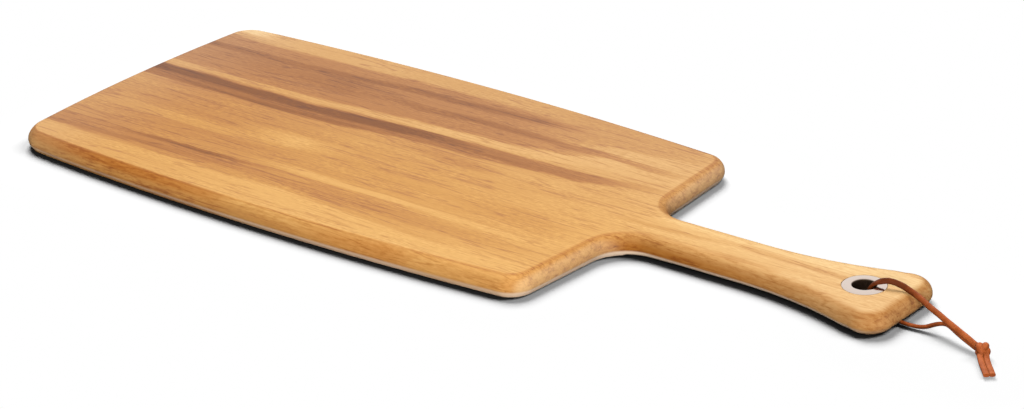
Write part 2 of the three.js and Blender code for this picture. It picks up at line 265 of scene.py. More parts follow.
def new_material(name):
    """An empty material, with a Flow to grow its nodes from and its Principled shader."""
    material = bpy.data.materials.new(name)
    material.use_nodes = True
    shader = material.node_tree.nodes["Principled BSDF"]
    return material, Flow(material.node_tree), shader


def feed(shader, **sockets):
    """Links flows to a Principled shader's sockets, or sets plain values on them."""
    for name, value in sockets.items():
        target = shader.inputs[name.replace("_", " ").title().replace("Ior", "IOR")]
        if isinstance(value, Flow):
            value.tree.links.new(value.socket, target)
        else:
            target.default_value = value


def coat(piece, material):
    """Gives a piece one material."""
    piece.data.materials.clear()
    piece.data.materials.append(material)
    print(material.name, "on", piece.name, "with", len(material.node_tree.nodes), "nodes")


print("materials can be made")

# %% [markdown]
# ## The lace's route
# The lace is one thong of soft leather. It is doubled through the eyelet, so that one strand lies over the
# handle's end and the other runs under it, and both ends go through one overhand knot and stick out as
# tails. A simulation could drop the lace, but it wouldn't lie as the photograph shows. The route is the
# imported model's own instead, given as a few places: in the eyelet, along the handle and on the table.

# %% Places on the route
END_X = 252.0
EYELET_X = 225.8
TOP_Z = 11.5
LYING_Z = 1.65


def in_eyelet(dx, y, z):
    return Vector((EYELET_X + dx, y, z)) * MM


def over_handle(dx, y, dz):
    return Vector((END_X + dx, y, TOP_Z + dz)) * MM


def on_table(dx, y, dz):
    return Vector((END_X + dx, y, LYING_Z + dz)) * MM


SPLIT = in_eyelet(2.2, 1.2, 7.275)
UPPER_ROUTE = [
    SPLIT,
    in_eyelet(2.5, 1.2, 9.9),
    in_eyelet(4.2, 1.6, 12.5),
    over_handle(-18.5, 2.8, 2.9),
    over_handle(-14.8, 4.1, 3.6),
    over_handle(-9.3, 5.2, 2.7),
    over_handle(-2.8, 4.9, 0.9),
    over_handle(4.3, 2.4, -0.2),
    over_handle(10.4, -0.7, -1.0),
    over_handle(14.6, -2.7, -1.4),
    over_handle(18.5, -4.4, -1.8),
    on_table(23.0, -6.1, 7.1),
    on_table(27.5, -7.7, 6.3),
    on_table(33.0, -9.7, 5.3),
    on_table(38.6, -11.6, 4.2),
    on_table(43.6, -13.3, 3.1),
    on_table(48.2, -14.4, 2.7),
]
LOWER_ROUTE = [
    SPLIT,
    in_eyelet(2.4, 0.5, 4.85),
    in_eyelet(3.8, -1.0, 2.85),
    on_table(-19.2, -3.0, 0.0),
    on_table(-12.8, -4.3, 0.0),
    on_table(-5.9, -5.8, 0.0),
    on_table(1.0, -7.2, 0.0),
    on_table(4.6, -7.3, 0.0),
    on_table(8.5, -6.9, 0.1),
    on_table(12.2, -6.2, 0.8),
    on_table(15.4, -5.2, 2.2),
    on_table(18.5, -4.4, 3.4),
    on_table(22.0, -4.5, 4.1),
    on_table(25.8, -5.8, 3.8),
    on_table(30.0, -7.6, 3.0),
    on_table(35.2, -9.6, 1.95),
    on_table(39.6, -11.1, 1.15),
    on_table(43.6, -12.4, 0.45),
    on_table(47.8, -13.9, 0.8),
]
TAIL_ROUTE = [
    on_table(50.2, -17.6, 1.6),
    on_table(51.9, -19.8, 0.7),
    on_table(53.8, -22.0, 0.1),
    on_table(56.0, -24.6, 0.0),
    on_table(58.4, -27.3, 0.0),
    on_table(60.2, -29.4, 0.0),
    on_table(62.0, -31.5, 0.0),
]
TAIL_SIDE = Vector((0.74, 0.67, 0.0)).normalized()
TAIL_APART = 1.45
TAIL_ASIDE = TAIL_SIDE * TAIL_APART * MM
print("places: upper", len(UPPER_ROUTE), "lower", len(LOWER_ROUTE), "tail", len(TAIL_ROUTE))

# %% [markdown]
# ## A smooth curve through the places
# Leather lace has no corners, so a smooth curve has to run through the places. One with even steps in its
# parameter would overshoot where two places lie close together. Here the parameter is spaced by the square
# root of the distance, which keeps the curve tight at short steps.

# %% Smooth route
ROUTE_STEP = 0.8 * MM


def smooth_route(points, step):
    """Places about a step apart on a smooth curve through the points."""
    before = points[0] * 2 - points[1]
    after = points[-1] * 2 - points[-2]
    ring = [before, *points, after]
    route = []
    for a, b, c, d in zip(ring, ring[1:], ring[2:], ring[3:]):
        ta = 0.0
        tb = ta + math.sqrt((b - a).length)
        tc = tb + math.sqrt((c - b).length)
        td = tc + math.sqrt((d - c).length)
        count = max(1, round((c - b).length / step))
        for i in range(count):
            t = tb + (tc - tb) * i / count
            ab = a.lerp(b, (t - ta) / (tb - ta))
            bc = b.lerp(c, (t - tb) / (tc - tb))
            cd = c.lerp(d, (t - tc) / (td - tc))
            abc = ab.lerp(bc, (t - ta) / (tc - ta))
            bcd = bc.lerp(cd, (t - tb) / (td - tb))
            route.append(abc.lerp(bcd, (t - tb) / (tc - tb)))
    route.append(points[-1].copy())
    return route


def route_length(route):
    return sum((b - a).length for a, b in zip(route, route[1:]))


upper_route = smooth_route(UPPER_ROUTE + [p + TAIL_ASIDE for p in TAIL_ROUTE], ROUTE_STEP)
lower_route = smooth_route(LOWER_ROUTE + [p - TAIL_ASIDE for p in TAIL_ROUTE], ROUTE_STEP)
print("strands", [round(route_length(r) / MM, 1) for r in (upper_route, lower_route)], "mm")

# %% [markdown]
# ## The lace
# Leather lace is cut from a hide, so it is flatter than a cord: here 3.0 mm wide and 1.8 mm thick, with
# rounded edges. A curve with a round bevel would make a wire. Instead a flat section is swept along the
# route in mesh code, and its wide side is carried along with as little twist as the bends allow. The upper
# strand turns on edge as it leaves the eyelet, and lies flat again past the knot.

# %% Section and skin of a lace
LACE_WIDTH = 3.0 * MM
LACE_THICKNESS = 1.8 * MM
LACE_SIDES = 16
SECTION_POWER = 2.6


def lace_section():
    """Places round the section, a rounded oblong, as (share of half width, share of half thickness)."""
    section = []
    for i in range(LACE_SIDES):
        angle = 2 * math.pi * i / LACE_SIDES
        c, s = math.cos(angle), math.sin(angle)
        power = 2 / SECTION_POWER
        section.append((math.copysign(abs(c) ** power, c), math.copysign(abs(s) ** power, s)))
    return section


def skin(mesh, rings):
    """Faces between each ring of points and the next one."""
    count = len(rings[0])
    for first, second in zip(rings, rings[1:]):
        for i in range(count):
            j = (i + 1) % count
            mesh.faces.new((first[i], first[j], second[j], second[i]))


def new_piece(name, mesh):
    """An object in the scene with a mesh that is done."""
    data = bpy.data.meshes.new(name)
    mesh.to_mesh(data)
    mesh.free()
    piece = bpy.data.objects.new(name, data)
    bpy.context.scene.collection.objects.link(piece)
    return piece


print("section of", len(lace_section()), "places")

# %% Sweep the two strands
UP = Vector((0.0, 0.0, 1.0))
FLAT_AT_START = Vector((-1.0, 0.0, 0.0))
TAIL_START, TAIL_FLAT = 297.0 * MM, 303.0 * MM
EDGE_LEAN = 75.0
EDGE_FROM = (228.0, 236.0)
EDGE_UNTIL = (296.0, 304.0)


def smooth_step(value, low, high):
    share = min(1.0, max(0.0, (value - low) / (high - low)))
    return share * share * (3.0 - 2.0 * share)


def sweep_lace(name, route, lean):
    """A mesh of lace along a route, wide side down, or turned on edge where lean is 90 degrees."""
    mesh = bmesh.new()
    rings = []
    flat = FLAT_AT_START
    for i, place in enumerate(route):
        along = (route[min(i + 1, len(route) - 1)] - route[max(i - 1, 0)]).normalized()
        flat = flat.lerp(UP, smooth_step(place.x, TAIL_START, TAIL_FLAT))
        flat = (flat - along * flat.dot(along)).normalized()
        thick = Matrix.Rotation(math.radians(lean(place)), 3, along) @ flat
        wide = along.cross(thick)
        rings.append([
            mesh.verts.new(place + wide * u * LACE_WIDTH / 2 + thick * v * LACE_THICKNESS / 2)
            for u, v in lace_section()
        ])
    skin(mesh, rings)
    mesh.faces.new(list(reversed(rings[0])))
    mesh.faces.new(rings[-1])
    bmesh.ops.recalc_face_normals(mesh, faces=mesh.faces)
    for face in mesh.faces:
        face.smooth = len(face.verts) == 4
    return new_piece(name, mesh)


def upper_lean(place):
    """How far the upper strand leans, in degrees."""
    x = place.x / MM
    return EDGE_LEAN * smooth_step(x, *EDGE_FROM) * (1.0 - smooth_step(x, *EDGE_UNTIL))


lace_upper = sweep_lace("lace_upper", upper_route, upper_lean)
lace_lower = sweep_lace("lace_lower", lower_route, lambda place: 0.0)
print("lace", len(lace_upper.data.vertices) + len(lace_lower.data.vertices), "vertices")

# %% [markdown]
# ## The knot
# Both strands go through one overhand knot that is drawn tight. Seen close, it is a ball of three fat bights
# that dive under one another. A ball with bumps would be quick, but nothing on it dives. A trefoil is the
# knot's own path: it goes twice round its middle, and rises and falls three times on the way. A tube along
# it meets itself inside, so a voxel remesh fuses the tube into one closed skin, and smoothing leaves soft
# valleys in it, as tight leather has.

# %% Path and tube of the knot
KNOT_CENTRE = Vector((300.2, -14.6, 4.0)) * MM
KNOT_REACH = 4.1 * MM
KNOT_TUBE = 1.75 * MM
KNOT_RISE = 0.62
KNOT_TURN = math.radians(68)
KNOT_SAMPLES = 120
KNOT_SIDES = 12
KNOT_NUDGE = 0.02
STRANDS_CROSS = 10


def trefoil(t):
    """A place on a trefoil, of about unit reach."""
    out = (2 + math.cos(3 * t)) / 3
    return Vector((math.cos(2 * t) * out, math.sin(2 * t) * out, math.sin(3 * t) * KNOT_RISE))


def tie_knot(name):
    """A tube along a trefoil that is turned into line with the strands."""
    heading = (UPPER_ROUTE[-1] - UPPER_ROUTE[STRANDS_CROSS]).normalized()
    turn = heading.to_track_quat("X", "Z").to_matrix() @ Matrix.Rotation(KNOT_TURN, 3, "Y")
    spine = KNOT_REACH - KNOT_TUBE
    mesh = bmesh.new()
    rings = []
    for i in range(KNOT_SAMPLES):
        t = 2 * math.pi * i / KNOT_SAMPLES
        place = trefoil(t) * spine
        along = (trefoil(t + KNOT_NUDGE) - trefoil(t - KNOT_NUDGE)).normalized()
        side = along.cross(UP).normalized()
        top = side.cross(along)
        ring = []
        for k in range(KNOT_SIDES):
            angle = 2 * math.pi * k / KNOT_SIDES
            out = side * math.cos(angle) + top * math.sin(angle)
            ring.append(mesh.verts.new(KNOT_CENTRE + turn @ (place + out * KNOT_TUBE)))
        rings.append(ring)
    skin(mesh, rings + rings[:1])
    bmesh.ops.recalc_face_normals(mesh, faces=mesh.faces)
    return new_piece(name, mesh)


lace_knot = tie_knot("lace_knot")
print("tube of the knot", len(lace_knot.data.vertices), "vertices")

# %% Draw the knot tight
KNOT_VOXEL = 0.22 * MM
KNOT_SMOOTHING = 4


def fuse(piece, voxel, smoothing):
    """Fuses a mesh that meets itself into one closed skin, and smooths it."""
    remesh = piece.modifiers.new("fuse", "REMESH")
    remesh.mode = "VOXEL"
    remesh.voxel_size = voxel
    remesh.use_smooth_shade = True
    smooth = piece.modifiers.new("smooth", "SMOOTH")
    smooth.iterations = smoothing
    graph = bpy.context.evaluated_depsgraph_get()
    data = bpy.data.meshes.new_from_object(piece.evaluated_get(graph))
    piece.modifiers.clear()
    piece.data = data


fuse(lace_knot, KNOT_VOXEL, KNOT_SMOOTHING)
print("knot", len(lace_knot.data.vertices), "vertices")

# %% [markdown]
# ## How the lace moves
# A limp lace bends wherever it is pushed. The model gives it one hinge, at the place where the strands
# cross, just past the handle's end. A strand that rode on one body alone would tear off the other, so each
# strand's mesh stays where it lies, and the solids it stands for are hidden. The knot rides on the loop.

STRANDS = [
    (lace_upper, ["thong_over_handle", "thong_loop_upper", "thong_tail_far"]),
    (lace_lower, ["thong_under_handle", "thong_loop_lower", "thong_tail_near"]),
]
for strand, solids in STRANDS:
    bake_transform(strand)
    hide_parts(*solids)
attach(lace_knot, "thong_loop")
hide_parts("thong_knot")
route_length(upper_route)
route_length(lower_route)

# %% [markdown]
# ## Smooth solids
# The plank's edge is a roll and the eyelet's flange is crowned, but the imported solids are made of flat
# triangles that don't share their corners, so each facet shows. The corners could be joined in edit mode,
# which would change the imported meshes themselves. Instead a modifier made of geometry nodes joins the
# corners and shades the faces smooth up to an angle, and weighted normals keep the large flat faces flat.

# %% Shade the solids smooth
CORNER_GAP = 0.002 * MM
SHARP_ANGLE = math.radians(50)
FLAT_FACE_WEIGHT = 80


def smooth_group():
    """A modifier's nodes: join corners, drop the facets' own normals, shade smooth below the sharp angle."""
    group = bpy.data.node_groups.new("smooth_solid", "GeometryNodeTree")
    for side in ("INPUT", "OUTPUT"):
        group.interface.new_socket("Geometry", in_out=side, socket_type="NodeSocketGeometry")
    solid = Flow(group).node("NodeGroupInput")
    joined = solid.node("GeometryNodeMergeByDistance", sockets={"Geometry": solid, "Distance": CORNER_GAP})
    plain = solid.node("GeometryNodeRemoveAttribute", sockets={"Geometry": joined, "Name": "custom_normal"})
    faces = solid.node("GeometryNodeSetShadeSmooth", sockets={"Geometry": plain})
    angle = solid.node("GeometryNodeInputMeshEdgeAngle", output="Unsigned Angle")
    sharp = solid.node("FunctionNodeCompare", {"operation": "GREATER_THAN"}, {"A": angle, "B": SHARP_ANGLE})
    soft = solid.node("FunctionNodeBooleanMath", {"operation": "NOT"}, {0: sharp})
    sockets = {"Geometry": faces, "Shade Smooth": soft}
    edges = solid.node("GeometryNodeSetShadeSmooth", {"domain": "EDGE"}, sockets)
    solid.node("NodeGroupOutput", sockets={0: edges})
    return group


smooth_solid = smooth_group()
for solid in (board, eyelet):
    solid.modifiers.new("smooth", "NODES").node_group = smooth_solid
    weighted = solid.modifiers.new("flat faces", "WEIGHTED_NORMAL")
    weighted.keep_sharp = True
    weighted.weight = FLAT_FACE_WEIGHT
    print("smooth:", solid.name)

# %% [markdown]
# ## The wood's streaks
# The plank is a streaky tropical hardwood: a dark heart streak with a pale band beside it, a plum-brown
# zone towards the far side, and golden wood elsewhere. Streaks are layers of the tree, so they run along
# the plank and show on its edges as well. Rings round a tree's heart would be one rule for all of them, but
# they can't be steered to one plank. Here each streak has a tone, about 0 for dark and 1 for pale, its own
# middle line and half width, a soft edge, and a strength that comes and goes along it. Lines, widths and
# strengths are (place, number) pairs, with places in millimetres from the plank's back end, and lines and
# widths in millimetres from its middle. Later streaks lie over earlier ones.

# %% Streaks of the far side
Streak = namedtuple("Streak", "tone centre half soft strength")
STREAKS = {
    "far gold edge": Streak(
        0.83, [(0, 88), (80, 91), (140, 95)], [(0, 11)], 6,
        [(0, 1), (110, 0.95), (150, 0.6), (200, 0)]),
    "plum zone": Streak(
        0.43, [(0, 52), (110, 52.5), (140, 55.5), (170, 57.5), (200, 59), (230, 60.5), (260, 60)],
        [(0, 21), (110, 21.5), (140, 22.5), (170, 21), (200, 18.5), (230, 18.5), (260, 13)], 5,
        [(0, 0.7), (30, 0.85), (80, 0.95), (200, 0.95), (230, 0.85), (260, 0.55), (285, 0)]),
    "rosy corner": Streak(
        0.62, [(230, 84), (315, 92)], [(260, 22), (315, 17)], 6,
        [(215, 0), (250, 0.8), (315, 0.7), (335, 0.3)]),
    "plum line": Streak(
        0.16, [(0, 59.5), (45, 60.5), (80, 62.5), (110, 65), (140, 69), (170, 70), (200, 71), (230, 74),
               (260, 77)], [(0, 1.4)], 3.4,
        [(0, 0.85), (45, 0.7), (110, 0.85), (170, 0.95), (200, 0.8), (230, 0.55), (260, 0)]),
    "plum shade": Streak(
        0.24, [(0, 50), (80, 52), (110, 53), (140, 54)], [(0, 3), (80, 5), (110, 7)], 5,
        [(0, 0), (45, 0.4), (80, 0.55), (110, 0.85), (135, 0.3), (160, 0)]),
    "second plum line": Streak(
        0.2, [(140, 53), (170, 52), (200, 55), (230, 55.5), (260, 54), (290, 57), (315, 54)], [(0, 1.8)], 3,
        [(125, 0), (160, 0.8), (200, 0.9), (230, 0.75), (260, 0.5), (290, 0.5), (315, 0.35), (340, 0)]),
}
print("streaks of the far side", len(STREAKS))

# %% Streaks of the heart
STREAKS.update({
    "pale band": Streak(
        0.94, [(0, 27), (110, 27.5), (140, 30), (170, 32.5), (200, 32.8), (230, 35.5), (260, 38), (290, 47),
               (315, 44)],
        [(0, 1.5), (170, 1.6), (230, 2.4), (260, 3), (290, 5.4), (315, 3.4)], 3,
        [(0, 0.45), (45, 0.5), (110, 0.7), (140, 0.75), (170, 0.95), (290, 1), (330, 0.4), (350, 0)]),
    "brown beside the heart": Streak(
        0.2, [(0, 11.5), (80, 11), (110, 10.5), (140, 12.5), (170, 15.5), (200, 18.5), (230, 18), (260, 21)],
        [(0, 3.8), (110, 3.8), (140, 3.5), (170, 2)], 3,
        [(0, 0.9), (110, 0.85), (140, 0.8), (170, 0.7), (200, 0.8), (230, 0.6), (260, 0.2), (290, 0)]),
    "heart": Streak(
        -0.04, [(0, 18), (110, 18), (140, 20.2), (170, 22.4), (200, 24.8), (260, 24.4), (290, 25.8),
                (315, 31), (345, 34)],
        [(0, 2.2), (110, 2.4), (140, 2.6), (170, 3.2), (200, 1.6), (230, 3.3), (260, 4.2), (290, 4.2),
         (315, 1.8)], 3.4,
        [(0, 0.95), (170, 1), (195, 0.93), (225, 0.56), (290, 0.5), (315, 0.3), (345, 0.05)]),
    "shade beside the heart": Streak(
        0.55, [(190, 9), (230, 6)], [(0, 3)], 4, [(180, 0), (205, 0.7), (235, 0.8), (255, 0)]),
    "dark line under the heart": Streak(
        0.06, [(30, 8.5), (80, 8), (110, 8), (140, 11), (170, 14.5)], [(0, 0.7)], 1.6,
        [(20, 0), (60, 0.6), (90, 0.85), (130, 0.65), (165, 0.2), (180, 0)]),
})
print("streaks with the heart", len(STREAKS))

# %% Patches between the streaks
STREAKS.update({
    "pale corner": Streak(
        1.25, [(0, 86)], [(0, 3)], 3, [(0, 1), (20, 0.9), (35, 0)]),
    "gap in the rosy corner": Streak(
        0.92, [(260, 64), (315, 62)], [(0, 3)], 3,
        [(250, 0), (270, 0.3), (290, 0.7), (315, 0.9), (335, 0.5)]),
    "pale drift": Streak(
        0.76, [(0, -33)], [(0, 3)], 4, [(20, 0.5), (60, 0.9), (110, 0.9), (140, 0.3), (160, 0)]),
    "shade before the shoulder": Streak(
        0.7, [(255, -36), (290, -31), (315, -37)], [(0, 7)], 4,
        [(245, 0), (270, 0.6), (290, 0.9), (315, 0.4), (330, 0)]),
    "pale patch": Streak(
        0.97, [(100, -23), (180, -21)], [(0, 4)], 6,
        [(95, 0), (115, 0.4), (140, 0.95), (155, 0.45), (180, 0)]),
    "line past the patch": Streak(
        0.48, [(60, -40), (110, -39.5), (150, -37)], [(0, 1.2)], 3,
        [(40, 0), (80, 0.5), (120, 0.6), (170, 0)]),
})
print("streaks and patches", len(STREAKS))

# %% Streaks of the near side and the handle
STREAKS.update({
    "near brown band": Streak(
        0.46, [(0, -65), (230, -64)],
        [(0, 4.2), (80, 4.2), (110, 3.2), (140, 2), (170, 2.6), (200, 5), (230, 4)], 3.5,
        [(0, 0.75), (80, 0.8), (110, 0.75), (140, 0.55), (230, 0.5), (290, 0.3), (330, 0)]),
    "near brown line": Streak(
        0.36, [(0, -72), (45, -71), (80, -68), (110, -66.5)], [(0, 1.1)], 2,
        [(0, 0.8), (80, 0.85), (110, 0.5), (140, 0)]),
    "near dark line": Streak(
        0.1, [(45, -61.5), (80, -60), (110, -59.8), (150, -57.5)], [(0, 0.9)], 1.6,
        [(40, 0), (70, 0.6), (95, 0.95), (115, 0.95), (140, 0.3), (160, 0)]),
    "near pale edge": Streak(
        1.0, [(0, -88), (140, -88), (170, -86), (200, -88.5), (260, -92), (290, -91.5), (315, -88)],
        [(0, 11)], 3.5, [(0, 0.6), (110, 0.65), (160, 0.85), (315, 1)]),
    "near pale line": Streak(
        1.02, [(150, -50.6), (200, -51.6), (315, -52)], [(150, 2), (200, 1.4)], 2.4,
        [(130, 0), (170, 0.75), (230, 0.85), (315, 0.7), (340, 0)]),
    "pale side of the handle": Streak(
        1.22, [(0, 14)], [(0, 6)], 3, [(348, 0), (365, 1)]),
    "handle line": Streak(
        0.84, [(400, 3), (425, 2), (455, 2), (470, 1)], [(0, 0.8)], 2,
        [(390, 0), (410, 0.8), (460, 1), (485, 0.5)]),
    "neck line": Streak(
        0.76, [(335, -3), (350, -2.5), (365, -1.5), (380, -1), (395, 2)], [(0, 0.8)], 2.4,
        [(320, 0), (345, 0.9), (370, 0.9), (385, 0.5), (400, 0)]),
    "near handle line": Streak(
        0.74, [(345, -12), (365, -10.5), (380, -11), (410, -10), (430, -11)], [(0, 0.7)], 2,
        [(335, 0), (360, 0.8), (370, 0.6), (390, 0.2), (408, 1), (425, 0.7), (440, 0)]),
})
print("streaks in all", len(STREAKS))

# %% [markdown]
# ## The tone of the wood
# The streaks have to become one number for each place in the plank. A painted mask for each streak would
# have to be wrapped round the edges. A ramp node joins (place, number) pairs instead, so one ramp carries
# each line, width or strength. The layers sway a little and lean through the thickness, and fine noise
# feathers the streaks' edges, because a clean edge would look printed.

# %% Tone of the wood
PLANK_LENGTH = (board_high.x - board_low.x) / MM
PLAIN_TONE = [
    (0, 0.68), (45, 0.57), (110, 0.61), (170, 0.71), (230, 0.76), (315, 0.86), (345, 0.94), (365, 1.04),
    (504, 1.06)]
Grain = namedtuple("Grain", "size strength")
SWAY = Grain((60, 30, 30), 2.2)
FEATHER = Grain((26, 1.5, 1.5), 5.5)
FIGURE = Grain((120, 7, 7), 0.24)
LAYER_LEAN = 0.35


def course(along, stops):
    """A number that changes along the plank, through (place in millimetres, number) pairs."""
    numbers = [number for _, number in stops]
    low, high = min(numbers), max(numbers)
    if low == high:
        return low
    shares = [(place / PLANK_LENGTH, (*[(number - low) / (high - low)] * 3, 1.0)) for place, number in stops]
    ramp = along.node("ShaderNodeValToRGB", {"stops": shares}, {"Fac": along / PLANK_LENGTH})
    return low + ramp * (high - low)


def wood_tone(along, across, depth):
    """The wood's tone, and the layer of the tree that a place belongs to."""
    sway = noise(along, across, depth, SWAY.size, detail=1.0) * SWAY.strength
    layer = across - sway - depth * LAYER_LEAN
    figure = noise(along, layer, depth, FIGURE.size, detail=3.0) * FIGURE.strength
    tone = course(along, PLAIN_TONE) + figure
    feathered = layer + noise(along, layer, depth, FEATHER.size) * FEATHER.strength
    for streak in STREAKS.values():
        aside = feathered - course(along, streak.centre)
        half = course(along, streak.half)
        mask = fade(aside.math("ABSOLUTE", aside), half, half + streak.soft)
        tone = toward(tone, streak.tone, mask * course(along, streak.strength))
    return tone, layer


print("plank", round(PLANK_LENGTH), "mm long")

# %% [markdown]
# ## The wood's fibres
# Close to, the plank shows fibres some centimetres long, shorter and finer ones between them, pores as dark
# dashes and thin growth lines. All of them lie in the layers of the tree, so they bend as the layers do. A
# wave texture would repeat itself. Each kind is noise instead, stretched along the plank: a size along,
# across and through it, in millimetres, and a strength.

# %% Fibres
LONG_FIBRE = Grain((30, 1.3, 1.3), 0.24)
SHORT_FIBRE = Grain((4, 1.0, 1.0), 0.5)
PORE = Grain((6, 0.8, 0.8), 0.12)
PORE_EDGE = (0.12, 0.24)
GROWTH_LINE = Grain((110, 6, 6), 0.3)
GROWTH_LINE_WIDTH = 0.03
LINE_BREAK = (-0.14, 0.06)
PATCH_SIZE = (55, 11, 11)
PATCH_EDGE = (-0.16, 0.16)
PATCH_LEAST, PATCH_MOST = 0.5, 1.35


def wood_fibre(along, layer, depth):
    """What the fibres, pores and growth lines add to the wood's tone."""
    long_fibre = noise(along, layer, depth, LONG_FIBRE.size)
    short_fibre = noise(along, layer, depth, SHORT_FIBRE.size)
    pore = rise(noise(along, layer, depth, PORE.size, detail=1.0), *PORE_EDGE)
    swirl = noise(along, layer, depth, GROWTH_LINE.size)
    line = fade(swirl.math("ABSOLUTE", swirl), 0.0, GROWTH_LINE_WIDTH) * rise(long_fibre, *LINE_BREAK)
    fibre = long_fibre * LONG_FIBRE.strength + short_fibre * SHORT_FIBRE.strength - pore * PORE.strength
    patch = rise(noise(along, layer, depth, PATCH_SIZE), *PATCH_EDGE)
    return fibre * toward(PATCH_LEAST, PATCH_MOST, patch) - line * GROWTH_LINE.strength


print("fibres", LONG_FIBRE.size, SHORT_FIBRE.size, "mm")

# %% [markdown]
# ## The wood's edges
# The plank's sides drank more oil than its face, so they are darker and redder: near the face on the body,
# and lower down on the handle. The same tint also paints shade on the handle's roll and the lower sides. A
# pale band above the lower rim is painted light, bounced up from the white floor.
# Painted corners would need a much finer mesh. Each tint is a mask instead, made of the depth under the
# face and a course along the plank, so it follows the edge wherever the outline goes.

# %% Oil, painted shade and painted floor bounce on the edges
# The oil course below also darkens the handle's roll and the lower sides as painted shade.
EDGE_OIL_AND_SHADE = [
    (0, 0.25), (45, 0.7), (80, 0.75), (110, 0.7), (140, 0.55), (165, 0.1), (200, 0.25), (230, 0.5),
    (260, 0.55), (285, 0.3), (330, 0.4), (340, 0.7), (347, 1.0), (380, 0.95), (410, 0.9), (440, 0.75),
    (470, 0.55), (488, 0.7), (504, 0.85)]
OIL_AND_SHADE_DEPTH = [
    (0, 0.8), (150, 0.8), (200, 3.5), (235, 3), (260, 1.5), (290, 4), (345, 5), (425, 5), (455, 1)]
OIL_AND_SHADE_LOW = (2.5, 5.5)
OIL_AND_SHADE_LOSS = [(0, 0.6), (140, 0.6), (180, 0)]
# Painted light: a pale band above the lower rim, as light bounced up from the white floor.
FLOOR_BOUNCE_RIM = [
    (0, 0.4), (130, 0.5), (170, 0.7), (265, 0.75), (290, 0.45), (330, 0.7), (345, 1), (482, 1), (497, 0.2)]
FLOOR_BOUNCE_TOP = (7.6, 9.2)
FLOOR_BOUNCE_LOW = (9.2, 10.4)
FLOOR_BOUNCE_LOSS = [(0, 1), (140, 0.8), (200, 0.3), (300, 0)]


def oil_and_painted_shade(along, depth):
    """How much oil the sides hold, and the painted shade carried by the same tint."""
    kept = 1 - rise(depth, *OIL_AND_SHADE_LOW) * course(along, OIL_AND_SHADE_LOSS)
    soaked = depth.node("ShaderNodeClamp", sockets={"Value": depth / course(along, OIL_AND_SHADE_DEPTH)})
    return soaked.math("SQRT", soaked) * kept * course(along, EDGE_OIL_AND_SHADE)


def painted_floor_bounce(along, depth):
    """A pale band above the plank's lower rim: painted light bounced up from the white floor."""
    kept = 1 - rise(depth, *FLOOR_BOUNCE_LOW) * course(along, FLOOR_BOUNCE_LOSS)
    return rise(depth, *FLOOR_BOUNCE_TOP) * kept * course(along, FLOOR_BOUNCE_RIM)


print("oil is full within", max(reach for _, reach in OIL_AND_SHADE_DEPTH), "mm of the face")

# %% [markdown]
# ## Mottle, end grain and painted shade at the crease
# The oiled sides are mottled, the end grain at the shoulders is specked, and a fine dark line of painted
# shade runs along the crease where the body's bevel meets its face. A bump alone would vanish in soft light.
# So all three take something from the wood's tone, and the ramp of the wood's colours does the rest.

# %% Tone of the edges
MOTTLE = Grain((8, 3.2, 1.5), 0.44)
MOTTLE_EDGE = (-0.05, 0.2)
MOTTLE_TOP = (0.0, 1.0)
SPECK = Grain((9, 5, 2.4), 0.28)
SPECK_EDGE = (-0.06, 0.18)
CREASE_TOP = (0.02, 0.2)
CREASE_LOW = (0.4, 1.1)
CREASE_END = (340, 365)
CREASE_SHADE_STRENGTH = 0.24


def edge_tone(along, across, layer, depth, end_grain):
    """What the edges take from the tone: mottled sides, specked end grain, painted shade at the crease."""
    blotch = noise(along, layer, depth, MOTTLE.size, detail=4.0, roughness=0.65)
    mottle = rise(blotch, *MOTTLE_EDGE) * rise(depth, *MOTTLE_TOP)
    speck = rise(noise(along, across, depth, SPECK.size), *SPECK_EDGE) * end_grain
    # Painted shade: a fine dark line along the crease.
    crease = rise(depth, *CREASE_TOP) * fade(depth, *CREASE_LOW) * fade(along, *CREASE_END)
    mottled = mottle * course(along, EDGE_OIL_AND_SHADE) * MOTTLE.strength
    return mottled + speck * SPECK.strength + crease * CREASE_SHADE_STRENGTH


print("edges take up to", round(MOTTLE.strength + SPECK.strength + CREASE_SHADE_STRENGTH, 2), "of the tone")

# %% [markdown]
# ## The wood
# One number, the tone, goes through a ramp of the wood's colours, so a streak and a fibre darken in the
# same hue. The near side is tinted golden and the far side left paler and bluer, as a painted sheen, and the
# back end is painted a little greyer, as sheen too. The edges' tints are mixed in last. An image of wood
# would do for the face but not for the edges, which the same layers have to reach. The finish is a thin,
# dull oil with hardly a shine.

# %% Wood
WOOD_COLOURS = [
    (-0.3, "6e4531"), (0.0, "84573b"), (0.25, "9e6b46"), (0.5, "b48054"), (0.75, "c99962"), (1.0, "daae77"),
    (1.3, "e9c792")]
DARKEST_TONE, PALEST_TONE = WOOD_COLOURS[0][0], WOOD_COLOURS[-1][0]
# Painted sheen: the near side is tinted golden, so the far side stays paler and bluer.
NEAR_GOLD_AGAINST_SHEEN = colour("fff5d6")
SHEEN_ACROSS = (-40, 90)
SHEEN_ALONG = (320, 520)
BODY_OIL_AND_SHADE = colour("d4a25e")
HANDLE_OIL_AND_SHADE = colour("bf9d70")
HANDLE_START = (325, 352)
END_GRAIN = [(340, 0.35), (350, 0.1), (380, 0.05)]
END_GRAIN_DRY = [(338, 1), (348, 0.1)]
END_GRAIN_COLOUR = colour("dcb68e")
FLOOR_BOUNCE_COLOUR = colour("f4d6b8")
# Painted sheen: the back end is greyed.
SHEEN_GREY_END = (0, 80)
SHEEN_GREY_SHARE = 0.07


